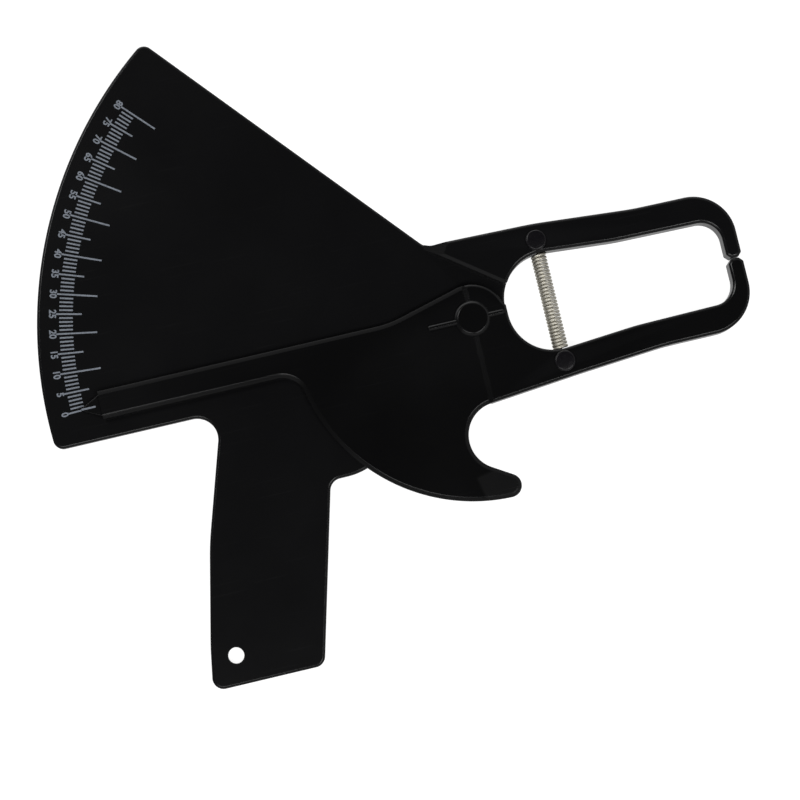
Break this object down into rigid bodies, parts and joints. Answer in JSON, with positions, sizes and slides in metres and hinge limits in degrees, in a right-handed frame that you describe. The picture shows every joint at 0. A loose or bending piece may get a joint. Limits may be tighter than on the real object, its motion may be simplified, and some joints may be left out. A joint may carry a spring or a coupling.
{
  "type": "skinfold caliper",
  "caption": "Pistol-grip skinfold caliper of black plastic: a fan-shaped scale plate with a fixed jaw, and a spring-closed trigger lever with a pointer and the moving jaw.",
  "frame": {"origin": "middle of the object's box, on the flat back face that it lies on", "axes": "+X from the pivot along the jaw line to the jaw tips, +Y towards the scale's far end and the fixed upper jaw, +Z out of the face with the scale"},
  "size_m": [0.28, 0.2542, 0.0099],
  "materials": {
    "frame_plastic": "smooth black ABS, satin gloss",
    "lever_plastic": "smooth black ABS, satin gloss",
    "pin_black": "blackened, satin",
    "spring_steel": "bright drawn wire",
    "screw_steel": "zinc plated",
    "washer_steel": "zinc plated",
    "washer_plastic": "natural nylon"
  },
  "bodies": {
    "frame": {"frame": "frame_plastic", "upper_spring_pin": "pin_black", "tension_spring": "spring_steel"},
    "lever": {"lever": "lever_plastic", "lower_spring_pin": "pin_black", "pivot_washer": "washer_plastic", "retaining_washer": "washer_steel", "pivot_screw": "screw_steel"}
  },
  "joints": [
    {"name": "lever_pivot", "type": "hinge", "parent": "frame", "child": "lever", "pos_m": [0.03068, -0.00869, 0], "axis": [0, 0, -1], "range_deg": [0, 46], "stiffness_Nm_per_rad": 0.18, "springref_deg": -79.64, "deforming": ["tension_spring"]}
  ]
}
